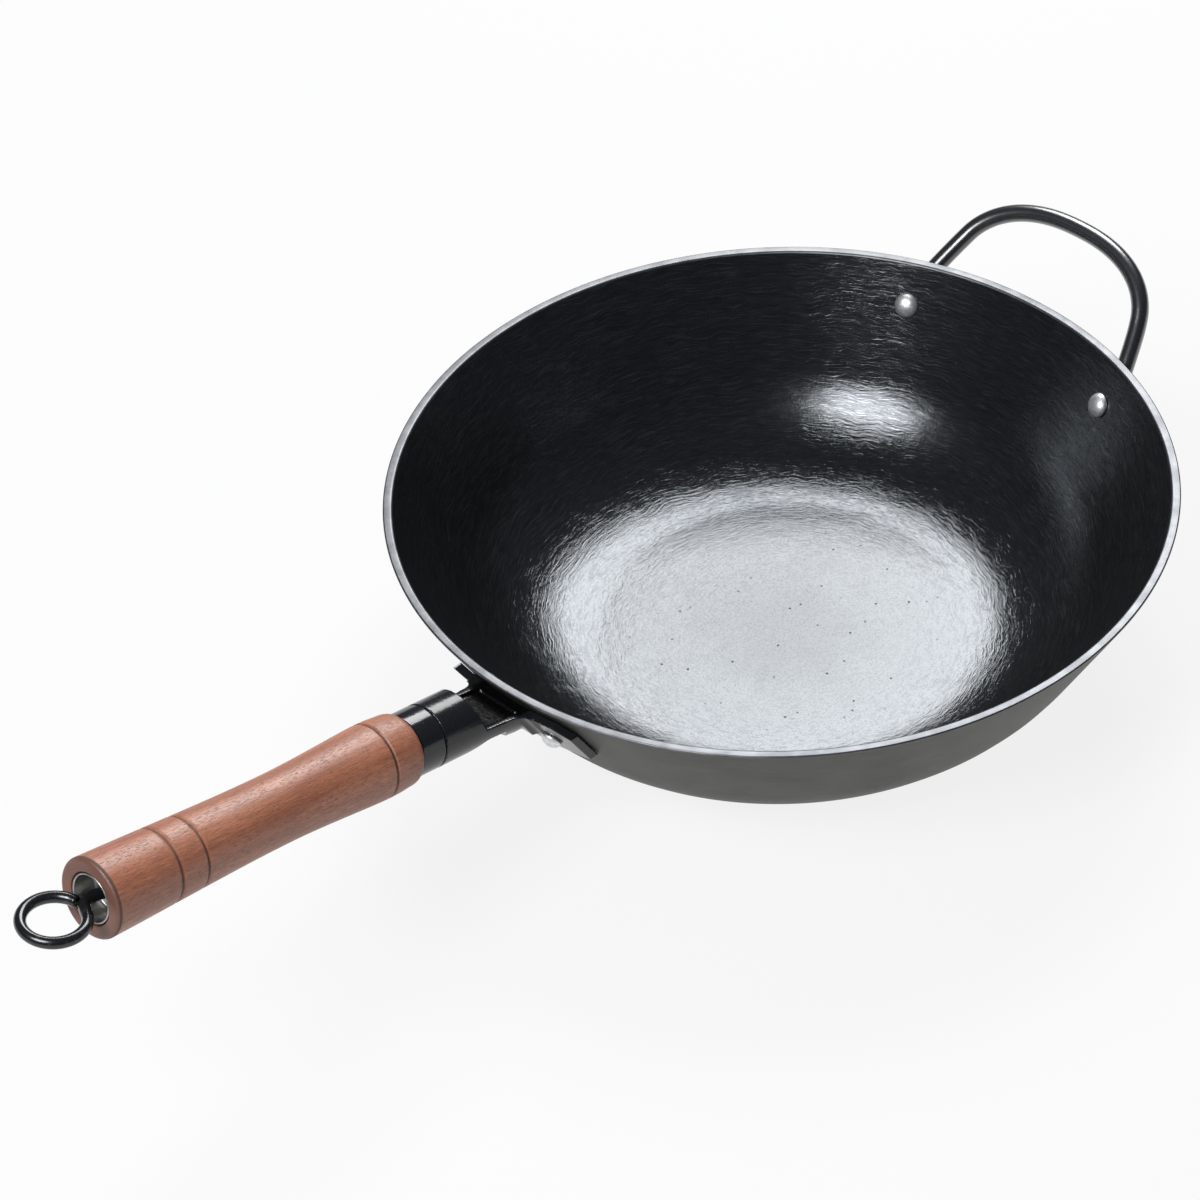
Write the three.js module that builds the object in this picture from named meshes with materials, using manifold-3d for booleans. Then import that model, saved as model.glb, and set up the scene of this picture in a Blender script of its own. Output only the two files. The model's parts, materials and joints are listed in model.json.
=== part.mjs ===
// A cast iron wok with a flat base, a wooden stick handle and a bent-bar helper handle.
// Millimetres, +Z up. The origin is the centre of the flat base; the stick handle runs along -X.
import * as THREE from "three";
import { mergeVertices } from "three/addons/utils/BufferGeometryUtils.js";
import Module from "manifold-3d";

const wasm = await Module();
wasm.setup();

const { degToRad } = THREE.MathUtils;

// Clearance left between two pieces that seat on one another.
const FIT = 0.3;
// How far a cutting body runs past the face it cuts.
const PAST = 2;

// Pan: a cast bowl of even wall with a flat base, a rounded turn and a straight flaring wall.
const RIM_RADIUS = 160;
const PAN_HEIGHT = 79;
const BASE_RADIUS = 75;
const WALL_THICKNESS = 3.5;
const WALL_SLOPE = degToRad(60);
const PAN_SIDES = 96;
const TURN_STEPS = 7;

// Handle line: it leaves the rim circle a little below the rim and rises outwards.
const HANDLE_TILT = degToRad(12.2);
const LINE_BELOW_RIM = 6.1;

// Bracket: a round socket, scooped open near the pan, on a flange that hugs the outer wall.
const SOCKET_RADIUS = 13;
const SOCKET_WALL = 2.5;
const SOCKET_FLARE = 0.8;
const FLARE_STEPS = 4;
const SCOOP_REACH = 19.5;
const SCOOP_LEAN = degToRad(22);
const LIP_RISE = 1;
const WEB_SINK = 1;
const WEB_THICKNESS = 2.2;
const NECK_NEAR = 8;
const NECK_FAR = 17;
const NECK_DEPTH = 5;
const FLANGE_THICKNESS = 3.5;
const FLANGE_TOP_DROP = 6.5;
const FLANGE_HEIGHT = 23;
const FLANGE_HALF_WIDTH = 32;
const FLANGE_CORNER = 6;
const BEND_RADIUS = 3;
const BEND_STEPS = 6;
const SOCKET_SIDES = 40;

// Socket nut: a threaded disc fixed in the socket, which the eye bolt draws against.
const NUT_THICKNESS = 5;

// Ferrule: a plain collar between the wood and the socket.
const FERRULE_LENGTH = 12.3;

// Grip: turned wood with a tenon at the pan end, a waist and three cut rings.
const GRIP_LENGTH = 152.5;
const TENON_IN_SOCKET = 10.7;
const NOSE_RADIUS = 13.4;
const NOSE_ROUND = 3.5;
const SHOULDER_RADIUS = 14.7;
const FRONT_RADIUS = 15.2;
const WAIST_RADIUS = 13.5;
const BUTT_RADIUS = 15.8;
const FRONT_SHARE = 0.082;
const WAIST_SHARE = 0.408;
const RING_SHARES = [0.096, 0.708, 0.792];
const RING_WIDTH = 1.8;
const RING_DEPTH = 0.7;
const BUTT_ROUND = 1.6;
const ROUND_STEPS = 3;
const GRIP_STEPS = 15;
const GRIP_SIDES = 32;

// End cup: a drawn steel cup let into the butt of the grip.
const CUP_RADIUS = 9.9;
const CUP_DEPTH = 11;
const CUP_WALL = 0.9;
const CUP_BELOW_BUTT = 0.5;

// Eye bolt: one rod that runs through the grip and is bent into the hanging eye.
const ROD_RADIUS = 2.3;
const EYE_RADIUS = 11.9;
const EYE_STAND = 1.9;
const EYE_ROLL = degToRad(-3);
const EYE_DROOP = degToRad(6);
const EYE_JOIN = degToRad(42);
const EYE_END = degToRad(352);
const EYE_STEPS = 32;
const COLLAR_RADIUS = 4.6;
const COLLAR_THICKNESS = 2;
const ROD_SIDES = 12;

// Rivets: a head inside the pan, low at the bracket and round at the helper, and a round tail outside.
const RIVET_RADIUS = 3;
const RIVET_HEAD_RADIUS = 5.2;
const BRACKET_HEAD_RISE = 1;
const HELPER_HEAD_RISE = 3.2;
const RIVET_TAIL_RADIUS = 4.3;
const RIVET_TAIL_RISE = 3.2;
const RIVET_SIDES = 20;
const DOME_STEPS = 4;
const RIVET_CLEAR = 0.3;
const BRACKET_RIVET_DROP = 19;

// Helper handle: a round bar bent into an upright loop, its ends flattened into feet.
const BAR_RADIUS = 3.7;
const LOOP_HALF_WIDTH = 48.5;
const LOOP_RISE = 35.8;
const LOOP_LEAN = degToRad(42);
const LOOP_SQUARENESS = 2.3;
const LOOP_DROP = 2.3;
const LOOP_STANDOFF = 3.6;
const FOOT_RADIUS = 8;
const FOOT_THICKNESS = 3.6;
const HELPER_RIVET_SPREAD = 53.5;
const HELPER_RIVET_DROP = 17.5;
const BAR_SIDES = 12;
const LOOP_STEPS = 14;
const BAR_STEPS = 36;

function finish(color, roughness, metalness) {
  return new THREE.MeshStandardMaterial({ color, roughness, metalness });
}

// A geometry as a closed body that can be added to others or cut from them.
function solid(geometry) {
  const plain = geometry.clone();
  plain.deleteAttribute("normal");
  plain.deleteAttribute("uv");
  const merged = mergeVertices(plain, 1e-3);
  const mesh = new wasm.Mesh({
    numProp: 3,
    vertProperties: merged.attributes.position.array,
    triVerts: new Uint32Array(merged.index.array),
  });
  return new wasm.Manifold(mesh);
}

function shaped(body) {
  const mesh = body.getMesh();
  const geometry = new THREE.BufferGeometry();
  geometry.setAttribute("position", new THREE.BufferAttribute(mesh.vertProperties, 3));
  geometry.setIndex(new THREE.BufferAttribute(mesh.triVerts, 1));
  geometry.computeVertexNormals();
  return geometry;
}

// A turned body: each pair is a radius and a place along the axis, which is +Y.
function turned(profile, sides) {
  const points = profile.map(([radius, along]) => new THREE.Vector2(radius, along));
  return new THREE.LatheGeometry(points, sides);
}

// A turned body that stands upright, its axis on +Z.
function upright(profile) {
  return turned(profile, PAN_SIDES).rotateX(Math.PI / 2);
}

// A turned body on the handle line, where places along the line count outwards, on -X.
function onLine(profile, sides) {
  return turned(profile, sides).rotateZ(Math.PI / 2);
}

function plug(radius, from, to) {
  return [[0, from], [radius, from], [radius, to], [0, to]];
}

function sleeve(inner, outer, from, to) {
  return [[inner, from], [outer, from], [outer, to], [inner, to], [inner, from]];
}

// The quarter round of a dome, from its edge to its top.
function dome(radius, rise) {
  return Array.from({ length: DOME_STEPS + 1 }, (_, step) => {
    const angle = (step / DOME_STEPS) * (Math.PI / 2);
    return [radius * Math.cos(angle), rise * Math.sin(angle)];
  });
}

// A flat outline in X and Z, given the same width to either side of the handle's plane.
function sideSlab(outline, halfWidth) {
  const shape = new THREE.Shape(outline.map(([x, z]) => new THREE.Vector2(x, z)));
  const slab = new THREE.ExtrudeGeometry(shape, { depth: 2 * halfWidth, bevelEnabled: false });
  return solid(slab.rotateX(Math.PI / 2).translate(0, halfWidth, 0));
}

// A round bar that follows a curve.
function bar(points, radius, sides, steps) {
  const path = new THREE.CatmullRomCurve3(points, false, "centripetal");
  const section = new THREE.Shape().absarc(0, 0, radius, 0, 2 * Math.PI, false);
  const outline = new THREE.Shape(section.getSpacedPoints(sides).slice(0, sides));
  return new THREE.ExtrudeGeometry(outline, { steps, extrudePath: path, bevelEnabled: false });
}

// The pan's outer profile: level base, an arc that takes up the rest, then the straight wall.
const slopeSin = Math.sin(WALL_SLOPE);
const slopeCos = Math.cos(WALL_SLOPE);
const wallLean = slopeCos / slopeSin;
const flare = RIM_RADIUS - BASE_RADIUS;
const turnRadius = (flare * slopeSin - PAN_HEIGHT * slopeCos) / (1 - slopeCos);

// Radius of the straight wall at a drop below the rim, moved square out of its outer face.
function wallRadius(drop, outwards) {
  return RIM_RADIUS - drop * wallLean + outwards / slopeSin;
}

// A place on the outer wall, at a sideways spread and a drop below the rim, with +Y square out of it.
function onWall(towards, spread, drop) {
  const radius = wallRadius(drop, 0);
  const along = towards * Math.sqrt(radius ** 2 - spread ** 2);
  const level = new THREE.Vector3(along, spread, 0).normalize();
  const outwards = level.clone().multiplyScalar(slopeSin).setZ(-slopeCos);
  const turn = new THREE.Quaternion().setFromUnitVectors(new THREE.Vector3(0, 1, 0), outwards);
  const place = level.multiplyScalar(radius).setZ(PAN_HEIGHT - drop);
  return new THREE.Matrix4().compose(place, turn, new THREE.Vector3(1, 1, 1));
}

function turnArc(radius) {
  return Array.from({ length: TURN_STEPS + 1 }, (_, step) => {
    const angle = (step / TURN_STEPS) * WALL_SLOPE;
    return [BASE_RADIUS + radius * Math.sin(angle), turnRadius - radius * Math.cos(angle)];
  });
}

const rimInner = RIM_RADIUS - WALL_THICKNESS / slopeSin;
const panProfile = [
  [0, 0],
  ...turnArc(turnRadius),
  [RIM_RADIUS, PAN_HEIGHT],
  [rimInner, PAN_HEIGHT],
  ...turnArc(turnRadius - WALL_THICKNESS).reverse(),
  [0, WALL_THICKNESS],
];

// A ring that hugs the straight outer wall between two drops below the rim.
function wallRing(thickness, top, bottom) {
  const corner = (drop, outwards) => [wallRadius(drop, outwards), PAN_HEIGHT - drop];
  const inner = FIT;
  const outer = FIT + thickness;
  const profile = [
    corner(bottom, inner),
    corner(bottom, outer),
    corner(top, outer),
    corner(top, inner),
    corner(bottom, inner),
  ];
  return solid(upright(profile));
}

const flangeBottomDrop = FLANGE_TOP_DROP + FLANGE_HEIGHT;

// The straight wall and the fitting gap around it, run on above the rim and below the flange.
function panSpace() {
  const low = flangeBottomDrop + SOCKET_RADIUS;
  const high = -LOOP_RISE;
  const profile = [
    [0, PAN_HEIGHT - low],
    [wallRadius(low, FIT), PAN_HEIGHT - low],
    [wallRadius(high, FIT), PAN_HEIGHT - high],
    [0, PAN_HEIGHT - high],
  ];
  return solid(upright(profile));
}

// The bracket's rivets stand just clear of the socket.
const wristRadius = SOCKET_RADIUS + SOCKET_FLARE;
const bracketSpread = wristRadius + RIVET_TAIL_RADIUS + RIVET_CLEAR;

// Each rivet: which way along X, how far to the side, its drop, the plate it holds, its head's rise.
const rivets = {
  bracket_rivet_left: [-1, bracketSpread, BRACKET_RIVET_DROP, FLANGE_THICKNESS, BRACKET_HEAD_RISE],
  bracket_rivet_right: [-1, -bracketSpread, BRACKET_RIVET_DROP, FLANGE_THICKNESS, BRACKET_HEAD_RISE],
  helper_rivet_left: [1, HELPER_RIVET_SPREAD, HELPER_RIVET_DROP, FOOT_THICKNESS, HELPER_HEAD_RISE],
  helper_rivet_right: [1, -HELPER_RIVET_SPREAD, HELPER_RIVET_DROP, FOOT_THICKNESS, HELPER_HEAD_RISE],
};

function drilled(body) {
  const reach = 2 * (WALL_THICKNESS + FLANGE_THICKNESS + FOOT_THICKNESS);
  return Object.values(rivets).reduce((left, [towards, spread, drop]) => {
    const hole = turned(plug(RIVET_RADIUS + FIT, -reach, reach), RIVET_SIDES);
    return left.subtract(solid(hole.applyMatrix4(onWall(towards, spread, drop))));
  }, body);
}

function rivet(plate, headRise) {
  const inside = -WALL_THICKNESS - FIT;
  const outside = plate + 2 * FIT;
  const head = dome(RIVET_HEAD_RADIUS, headRise).reverse();
  const tail = dome(RIVET_TAIL_RADIUS, RIVET_TAIL_RISE);
  const profile = [
    ...head.map(([radius, rise]) => [radius, inside - rise]),
    [RIVET_RADIUS, inside],
    [RIVET_RADIUS, outside],
    ...tail.map(([radius, rise]) => [radius, outside + rise]),
  ];
  return turned(profile, RIVET_SIDES);
}

// Places along the handle line, counted outwards from the rim circle.
const scoopTop = SCOOP_REACH + (SOCKET_RADIUS - LIP_RISE) * Math.tan(SCOOP_LEAN);
const nutStart = scoopTop + FIT;
const nutEnd = nutStart + NUT_THICKNESS;
const tenonStart = nutEnd + FIT;
const socketEnd = tenonStart + TENON_IN_SOCKET;
const ferruleStart = socketEnd + FIT;
const ferruleEnd = ferruleStart + FERRULE_LENGTH;
const gripStart = ferruleEnd + FIT;
const gripEnd = gripStart + GRIP_LENGTH;
const cupLip = gripEnd - CUP_BELOW_BUTT;
const cupFloor = cupLip - CUP_DEPTH;
const collarStart = cupFloor + CUP_WALL + FIT;
const collarEnd = collarStart + COLLAR_THICKNESS;
const eyeCentre = gripEnd + EYE_STAND + ROD_RADIUS + EYE_RADIUS;

const socketBore = SOCKET_RADIUS - SOCKET_WALL;
const tenonRadius = socketBore - FIT;
const rodBore = ROD_RADIUS + FIT;

const lineStart = new THREE.Vector3(-RIM_RADIUS, 0, PAN_HEIGHT - LINE_BELOW_RIM);
const lineFrame = new THREE.Matrix4().makeRotationY(HANDLE_TILT).setPosition(lineStart);

// The scoop's lip falls from the socket's side, above the line, to the flange's top edge.
const lipStart = new THREE.Vector3(-SCOOP_REACH, 0, LIP_RISE).applyMatrix4(lineFrame);
const lipEnd = new THREE.Vector3(-wallRadius(FLANGE_TOP_DROP, FIT), 0, PAN_HEIGHT - FLANGE_TOP_DROP);
const lipFall = (lipEnd.z - lipStart.z) / (lipEnd.x - lipStart.x);
const lipFar = lipEnd.x + FLANGE_HEIGHT;

function lipHeight(x) {
  return lipStart.z + (x - lipStart.x) * lipFall;
}

// What lies over the lip, from the scoop's leaning cut as far as the pan.
function overLip(sink, halfWidth) {
  const low = lipHeight(lipStart.x) - sink;
  const top = lipStart.z + 2 * SOCKET_RADIUS;
  const cutLean = Math.tan(HANDLE_TILT - SCOOP_LEAN);
  const outline = [
    [lipStart.x, low],
    [lipFar, lipHeight(lipFar) - sink],
    [lipFar, top],
    [lipStart.x + (top - low) * cutLean, top],
  ];
  return sideSlab(outline, halfWidth);
}

// The web: a plate a little below the lip that closes the socket's upper side as far as the pan.
function web() {
  const near = lipStart.x - WEB_THICKNESS;
  const under = WEB_SINK + WEB_THICKNESS;
  const outline = [
    [near, lipHeight(near) - under],
    [lipFar, lipHeight(lipFar) - under],
    [lipFar, lipHeight(lipFar) - WEB_SINK],
    [near, lipHeight(near) - WEB_SINK],
  ];
  return sideSlab(outline, SOCKET_RADIUS - SOCKET_WALL / 2);
}

// The open seam under the socket: its edges part towards the neck and close again at the wings.
function seam() {
  const under = -SOCKET_RADIUS - PAST;
  const outline = [[socketEnd, under], [NECK_FAR, -NECK_DEPTH], [NECK_NEAR, -NECK_DEPTH], [0, under]];
  const places = outline.map(([along, rise]) => {
    const place = new THREE.Vector3(-along, 0, rise).applyMatrix4(lineFrame);
    return [place.x, place.z];
  });
  return sideSlab(places, wristRadius + PAST);
}

// The metal that bends from the socket's sides out into the wings, leaning with the wall.
function bends() {
  const corner = wristRadius + BEND_RADIUS;
  const bottom = LINE_BELOW_RIM + SOCKET_RADIUS;
  const shape = new THREE.Shape();
  shape.moveTo(FLANGE_THICKNESS, -corner);
  shape.lineTo(FLANGE_THICKNESS, corner);
  shape.lineTo(0, corner);
  shape.absarc(-BEND_RADIUS, corner, BEND_RADIUS, 0, -Math.PI / 2, true);
  shape.absarc(-BEND_RADIUS, -corner, BEND_RADIUS, Math.PI / 2, 0, true);
  shape.closePath();
  const block = new THREE.ExtrudeGeometry(shape, {
    depth: bottom + LIP_RISE,
    bevelEnabled: false,
    curveSegments: BEND_STEPS,
  });
  block.applyMatrix4(new THREE.Matrix4().makeShear(0, 0, 0, 0, -wallLean, 0));
  block.translate(-wallRadius(bottom, FIT + FLANGE_THICKNESS), 0, PAN_HEIGHT - bottom);
  return solid(block);
}

// The flange's outline seen along the handle: full height with its outer top corners cut off.
function flange() {
  const half = FLANGE_HALF_WIDTH;
  const shape = new THREE.Shape();
  shape.moveTo(-half, -FLANGE_HEIGHT);
  shape.lineTo(half, -FLANGE_HEIGHT);
  shape.lineTo(half, -FLANGE_CORNER);
  shape.lineTo(half - FLANGE_CORNER, 0);
  shape.lineTo(FLANGE_CORNER - half, 0);
  shape.lineTo(-half, -FLANGE_CORNER);
  shape.closePath();
  const blank = new THREE.ExtrudeGeometry(shape, { depth: 2 * RIM_RADIUS, bevelEnabled: false });
  blank.rotateX(Math.PI / 2).rotateZ(-Math.PI / 2);
  blank.translate(0, 0, PAN_HEIGHT - FLANGE_TOP_DROP);
  const ring = wallRing(FLANGE_THICKNESS, FLANGE_TOP_DROP - PAST, flangeBottomDrop + PAST);
  return ring.intersect(solid(blank));
}

function bracket() {
  const inwards = -2 * SOCKET_RADIUS;
  const wrist = Array.from({ length: FLARE_STEPS + 1 }, (_, step) => {
    const share = 1 - step / FLARE_STEPS;
    return [SOCKET_RADIUS + SOCKET_FLARE * share ** 2, SCOOP_REACH * (1 - share)];
  });
  const tubeProfile = [
    [0, inwards],
    [wristRadius, inwards],
    ...wrist,
    [SOCKET_RADIUS, socketEnd],
    [0, socketEnd],
  ];
  const tube = onLine(tubeProfile, SOCKET_SIDES);
  const core = onLine(plug(socketBore, inwards - PAST, socketEnd + PAST), SOCKET_SIDES);
  const socket = solid(tube.applyMatrix4(lineFrame));
  const bore = solid(core.applyMatrix4(lineFrame));
  const body = socket
    .add(bends())
    .subtract(overLip(0, wristRadius + BEND_RADIUS + PAST))
    .subtract(bore)
    .subtract(seam())
    .add(web())
    .add(flange())
    .subtract(overLip(WEB_SINK, socketBore))
    .subtract(panSpace());
  const seatFrom = FIT + FLANGE_THICKNESS;
  const seat = plug(RIVET_TAIL_RADIUS + RIVET_CLEAR, seatFrom, seatFrom + SOCKET_RADIUS);
  const seated = [bracketSpread, -bracketSpread].reduce((left, spread) => {
    const spot = turned(seat, RIVET_SIDES).applyMatrix4(onWall(-1, spread, BRACKET_RIVET_DROP));
    return left.subtract(solid(spot));
  }, body);
  return shaped(drilled(seated));
}

// The grip's outer line from its nose to its butt, with the cut rings let into it.
function gripOutline() {
  const buttEdge = GRIP_LENGTH - BUTT_ROUND;
  const line = new THREE.SplineCurve([
    new THREE.Vector2(NOSE_ROUND, SHOULDER_RADIUS),
    new THREE.Vector2(GRIP_LENGTH * FRONT_SHARE, FRONT_RADIUS),
    new THREE.Vector2(GRIP_LENGTH * WAIST_SHARE, WAIST_RADIUS),
    new THREE.Vector2(buttEdge, BUTT_RADIUS),
  ]);
  const rings = RING_SHARES.map((share) => share * GRIP_LENGTH);
  const steps = line.getSpacedPoints(GRIP_STEPS);
  const clear = steps.filter(({ x }) => rings.every((ring) => Math.abs(x - ring) > RING_WIDTH));
  const radiusAt = (along) => {
    const after = steps.findIndex(({ x }) => x > along);
    const [from, to] = [steps[after - 1], steps[after]];
    return from.y + ((to.y - from.y) * (along - from.x)) / (to.x - from.x);
  };
  const points = clear.map(({ x, y }) => [y, x]);
  for (const ring of rings) {
    points.push([radiusAt(ring - RING_WIDTH / 2), ring - RING_WIDTH / 2]);
    points.push([radiusAt(ring) - RING_DEPTH, ring]);
    points.push([radiusAt(ring + RING_WIDTH / 2), ring + RING_WIDTH / 2]);
  }
  return points.sort((one, other) => one[1] - other[1]);
}

function grip() {
  const nose = [];
  const butt = [];
  for (let step = 0; step < ROUND_STEPS; step += 1) {
    const angle = (step / ROUND_STEPS) * (Math.PI / 2);
    const turnIn = 1 - Math.cos(angle);
    nose.push([NOSE_RADIUS + (SHOULDER_RADIUS - NOSE_RADIUS) * Math.sin(angle), NOSE_ROUND * turnIn]);
    butt.push([BUTT_RADIUS - BUTT_ROUND * turnIn, GRIP_LENGTH - BUTT_ROUND * (1 - Math.sin(angle))]);
  }
  const pocketFloor = cupFloor - FIT;
  const pocket = CUP_RADIUS + FIT;
  const profile = [
    [rodBore, tenonStart],
    [tenonRadius, tenonStart],
    [tenonRadius, gripStart],
    ...[...nose, ...gripOutline(), ...butt.slice(1)].map(([radius, along]) => [radius, gripStart + along]),
    [BUTT_RADIUS - BUTT_ROUND, gripEnd],
    [pocket, gripEnd],
    [pocket, pocketFloor],
    [rodBore, pocketFloor],
    [rodBore, tenonStart],
  ];
  return onLine(profile, GRIP_SIDES);
}

function endCup() {
  const inner = CUP_RADIUS - CUP_WALL;
  const profile = [
    [rodBore, cupFloor],
    [CUP_RADIUS, cupFloor],
    [CUP_RADIUS, cupLip],
    [inner, cupLip],
    [inner, cupFloor + CUP_WALL],
    [rodBore, cupFloor + CUP_WALL],
    [rodBore, cupFloor],
  ];
  return onLine(profile, GRIP_SIDES);
}

// The eye is bent round a circle centred on the line, and its end comes back to the rod.
function eyeBolt() {
  const around = (angle) => {
    const along = eyeCentre - EYE_RADIUS * Math.cos(angle);
    const fall = (along - lead) * Math.tan(EYE_DROOP);
    return new THREE.Vector3(-along, -EYE_RADIUS * Math.sin(angle), -fall);
  };
  const lead = eyeCentre - EYE_RADIUS - ROD_RADIUS;
  const points = [
    new THREE.Vector3(-collarStart, 0, 0),
    new THREE.Vector3(-collarEnd, 0, 0),
    new THREE.Vector3(-lead, 0, 0),
  ];
  const stations = EYE_STEPS / 2;
  for (let step = 0; step <= stations; step += 1) {
    points.push(around(EYE_JOIN + ((EYE_END - EYE_JOIN) * step) / stations));
  }
  const eye = bar(points, ROD_RADIUS, ROD_SIDES, EYE_STEPS + ROD_SIDES).rotateX(EYE_ROLL);
  const shank = [
    [0, nutStart],
    [ROD_RADIUS, nutStart],
    [ROD_RADIUS, collarStart],
    [COLLAR_RADIUS, collarStart],
    [COLLAR_RADIUS, collarEnd],
    [0, collarEnd],
  ];
  return shaped(solid(onLine(shank, ROD_SIDES)).add(solid(eye)));
}

// The helper's loop leans outwards from the rim; its legs run down to a foot on the wall.
function helper() {
  const legPlace = (side, upFromRivet) => {
    const drop = HELPER_RIVET_DROP - upFromRivet * slopeSin;
    const radius = wallRadius(drop, FIT + BAR_RADIUS);
    const out = Math.sqrt(radius ** 2 - HELPER_RIVET_SPREAD ** 2);
    return new THREE.Vector3(out, side * HELPER_RIVET_SPREAD, PAN_HEIGHT - drop);
  };
  const legEnd = RIVET_TAIL_RADIUS + 2 * RIVET_CLEAR;
  const legTop = legEnd + BAR_RADIUS;
  const loopRadius = wallRadius(LOOP_DROP, FIT + BAR_RADIUS + LOOP_STANDOFF);
  const loopFoot = Math.sqrt(loopRadius ** 2 - LOOP_HALF_WIDTH ** 2);
  const points = [legPlace(-1, legEnd), legPlace(-1, legTop)];
  for (let step = 0; step <= LOOP_STEPS; step += 1) {
    const angle = (step / LOOP_STEPS) * Math.PI;
    const rise = LOOP_RISE * Math.abs(Math.sin(angle)) ** (2 / LOOP_SQUARENESS);
    const across = Math.sign(Math.cos(angle)) * Math.abs(Math.cos(angle)) ** (2 / LOOP_SQUARENESS);
    const out = loopFoot + rise * Math.cos(LOOP_LEAN);
    const up = PAN_HEIGHT - LOOP_DROP + rise * Math.sin(LOOP_LEAN);
    points.push(new THREE.Vector3(out, -LOOP_HALF_WIDTH * across, up));
  }
  points.push(legPlace(1, legTop), legPlace(1, legEnd));
  let body = solid(bar(points, BAR_RADIUS, BAR_SIDES, BAR_STEPS));
  const reach = 2 * FOOT_THICKNESS;
  const ring = wallRing(FOOT_THICKNESS, HELPER_RIVET_DROP - FOOT_RADIUS, HELPER_RIVET_DROP + FOOT_RADIUS);
  for (const spread of [HELPER_RIVET_SPREAD, -HELPER_RIVET_SPREAD]) {
    const disc = turned(plug(FOOT_RADIUS, -reach, reach), RIVET_SIDES);
    disc.applyMatrix4(onWall(1, spread, HELPER_RIVET_DROP));
    body = body.add(ring.intersect(solid(disc)));
  }
  return shaped(drilled(body.subtract(panSpace())));
}

const paint = () => finish(0x14161a, 0.22, 0.2);
const steel = () => finish(0xb9bcc0, 0.35, 0.95);

const wok = new THREE.Group();
wok.name = "wok";

function piece(name, geometry, look, home) {
  const mesh = new THREE.Mesh(geometry, look);
  mesh.name = name;
  home.add(mesh);
}

const line = new THREE.Group();
line.name = "handle_line";
line.position.copy(lineStart);
line.rotation.y = HANDLE_TILT;
wok.add(line);

piece("pan", shaped(drilled(solid(upright(panProfile)))), finish(0x2b2e34, 0.42, 0.8), wok);
piece("handle_bracket", bracket(), paint(), wok);
piece("socket_nut", onLine(sleeve(rodBore, tenonRadius, nutStart, nutEnd), GRIP_SIDES), steel(), line);
const collar = sleeve(socketBore, SOCKET_RADIUS, ferruleStart, ferruleEnd);
piece("ferrule", onLine(collar, SOCKET_SIDES), paint(), line);
piece("grip", grip(), finish(0x8f543c, 0.6, 0), line);
piece("end_cup", endCup(), steel(), line);
piece("eye_bolt", eyeBolt(), finish(0x3a3e44, 0.25, 0.85), line);
piece("helper_handle", helper(), paint(), wok);
for (const [name, [towards, spread, drop, plate, headRise]] of Object.entries(rivets)) {
  piece(name, rivet(plate, headRise).applyMatrix4(onWall(towards, spread, drop)), steel(), wok);
}

export default wok;
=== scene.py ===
import json
import math

import bmesh
import bpy
from mathutils import Matrix, Vector, noise


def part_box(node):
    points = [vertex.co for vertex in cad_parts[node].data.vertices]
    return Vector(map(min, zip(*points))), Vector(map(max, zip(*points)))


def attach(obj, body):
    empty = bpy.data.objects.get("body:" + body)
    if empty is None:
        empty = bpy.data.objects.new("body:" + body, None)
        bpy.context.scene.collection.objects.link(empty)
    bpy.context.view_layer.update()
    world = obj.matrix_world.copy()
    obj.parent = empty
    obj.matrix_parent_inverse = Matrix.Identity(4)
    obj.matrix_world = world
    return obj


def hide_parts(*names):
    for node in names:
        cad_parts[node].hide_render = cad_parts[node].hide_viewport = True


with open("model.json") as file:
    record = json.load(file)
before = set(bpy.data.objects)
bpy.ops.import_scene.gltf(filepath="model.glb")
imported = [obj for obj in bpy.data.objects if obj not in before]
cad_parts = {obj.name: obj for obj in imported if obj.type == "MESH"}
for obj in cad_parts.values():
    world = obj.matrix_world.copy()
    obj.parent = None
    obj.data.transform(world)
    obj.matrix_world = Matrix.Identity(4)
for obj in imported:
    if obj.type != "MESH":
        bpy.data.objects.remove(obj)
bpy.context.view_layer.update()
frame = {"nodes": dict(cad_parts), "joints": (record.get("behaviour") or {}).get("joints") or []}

scene = bpy.context.scene
scene.view_settings.view_transform = "Standard"

# The camera stands off the stick handle's near side and looks down into the bowl through a
# long lens, rolled a little, so that the handle runs out to the lower left.
CAMERA_PLACE = Vector((-1.0097, -0.9551, 1.2307))
CAMERA_AZIMUTH = math.radians(-43.5)
CAMERA_ELEVATION = math.radians(41.0)
CAMERA_ROLL = math.radians(-3.8)
CAMERA_LENS = 135

lens = bpy.data.cameras.new("camera")
lens.lens = CAMERA_LENS
lens.clip_end = 100
camera = bpy.data.objects.new("camera", lens)
swing = Matrix.Rotation(CAMERA_AZIMUTH, 4, "Z")
tilt = Matrix.Rotation(math.pi / 2 - CAMERA_ELEVATION, 4, "X")
roll = Matrix.Rotation(CAMERA_ROLL, 4, "Z")
camera.matrix_world = Matrix.Translation(CAMERA_PLACE) @ swing @ tilt @ roll
scene.collection.objects.link(camera)
scene.camera = camera

# The studio: a pale floor that runs out of sight, a large oval soft box behind the bowl and a
# smaller one beyond the grip, in a dim room.
FLOOR_RADIUS = 30
FLOOR_CLEARANCE = 0.0002
FLOOR_COLOUR = (0.66, 0.66, 0.66, 1)
FLOOR_ROUGHNESS = 0.9
FLOOR_GLOW = 0.85
ROOM_LIGHT = 0.06
ROOM_COLOUR = (0.8, 0.95, 1.2, 1)
BOX_DISTANCE = 1.7


def link(sockets, name, value):
    """Sets a socket to a plain value, or joins it to a Flow."""
    if isinstance(value, Flow):
        value.tree.links.new(value.socket, sockets[name])
    else:
        sockets[name].default_value = value


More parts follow.
